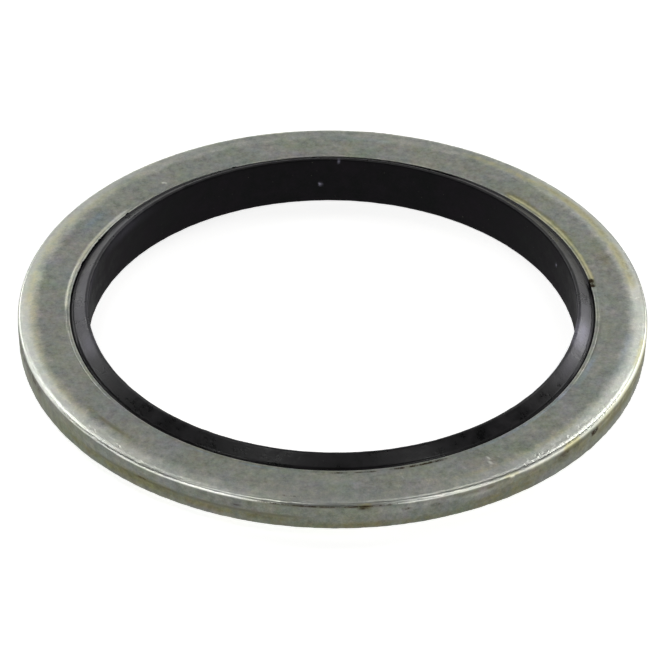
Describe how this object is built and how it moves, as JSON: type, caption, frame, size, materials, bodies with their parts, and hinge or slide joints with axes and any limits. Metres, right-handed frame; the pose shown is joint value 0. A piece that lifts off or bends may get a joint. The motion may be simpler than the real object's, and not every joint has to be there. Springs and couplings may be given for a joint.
{
  "type": "bonded sealing washer",
  "caption": "Flat steel ring with a black rubber sealing lip bonded to its bore, squeezed under a bolt head or pipe fitting to seal the joint round the thread.",
  "frame": {"origin": "on the bore axis, in the plane of the lower rubber lip that the washer rests on", "axes": "+Z along the bore axis, towards the face whose outer edge is rolled over; X and Y across the ring"},
  "size_m": [0.037, 0.037, 0.0031],
  "materials": {
    "zinc_plated_steel": "mild steel, blanked and tumbled, zinc plated with a thin yellow passivate, matt with a bright rolled edge",
    "black_rubber": "moulded nitrile rubber, satin black"
  },
  "bodies": {
    "root": {"steel_ring": "zinc_plated_steel", "rubber_seal": "black_rubber"}
  },
  "joints": []
}
